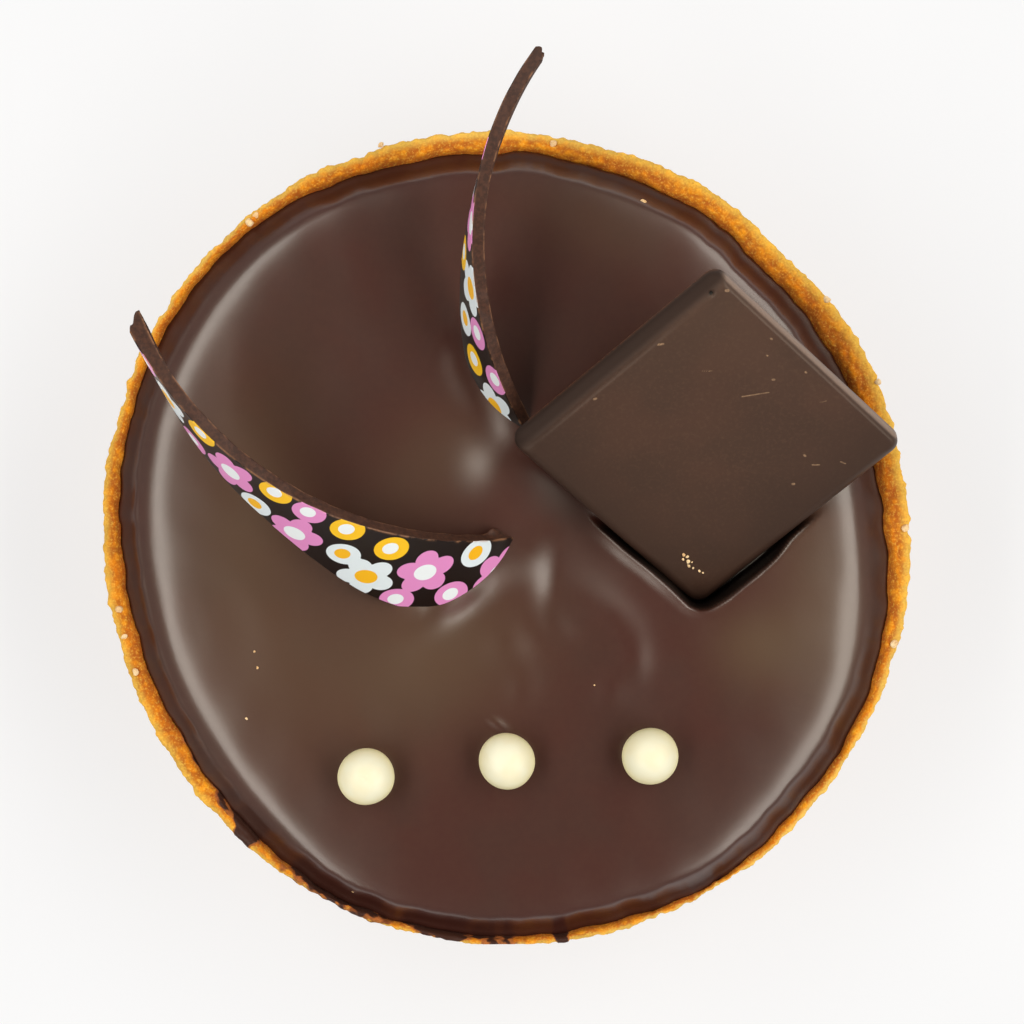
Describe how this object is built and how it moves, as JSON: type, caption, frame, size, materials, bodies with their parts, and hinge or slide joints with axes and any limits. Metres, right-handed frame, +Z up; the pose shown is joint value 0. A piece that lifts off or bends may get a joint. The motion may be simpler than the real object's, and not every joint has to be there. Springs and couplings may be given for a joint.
{
  "type": "chocolate tart",
  "caption": "Small round pastry shell filled with domed, glazed chocolate ganache, topped with a tilted square chocolate plaque, printed chocolate curls and cream crisp pearls.",
  "frame": {"origin": "centre of the flat underside of the pastry shell", "axes": "+Z up; +X to the right and +Y away from the viewer in the overhead view, so the pearls lie towards -Y, the side curl towards -X and the back curl points along +Y"},
  "size_m": [0.0801, 0.0865, 0.0389],
  "materials": {
    "pastry": "baked golden pastry, grainy and matte, paler at the outer edge",
    "glaze": "smooth dark chocolate glaze, satin gloss",
    "plaque_chocolate": "dark chocolate, satin",
    "printed_chocolate": "dark chocolate with printed flowers and dots in pink, pale blue-white and yellow",
    "pearl_coating": "cream white chocolate coating, satin"
  },
  "bodies": {
    "root": {"crust": "pastry", "filling": "glaze", "plaque": "plaque_chocolate", "curl_side": "printed_chocolate", "curl_back": "printed_chocolate", "pearl_1": "pearl_coating", "pearl_2": "pearl_coating", "pearl_3": "pearl_coating"}
  },
  "joints": []
}
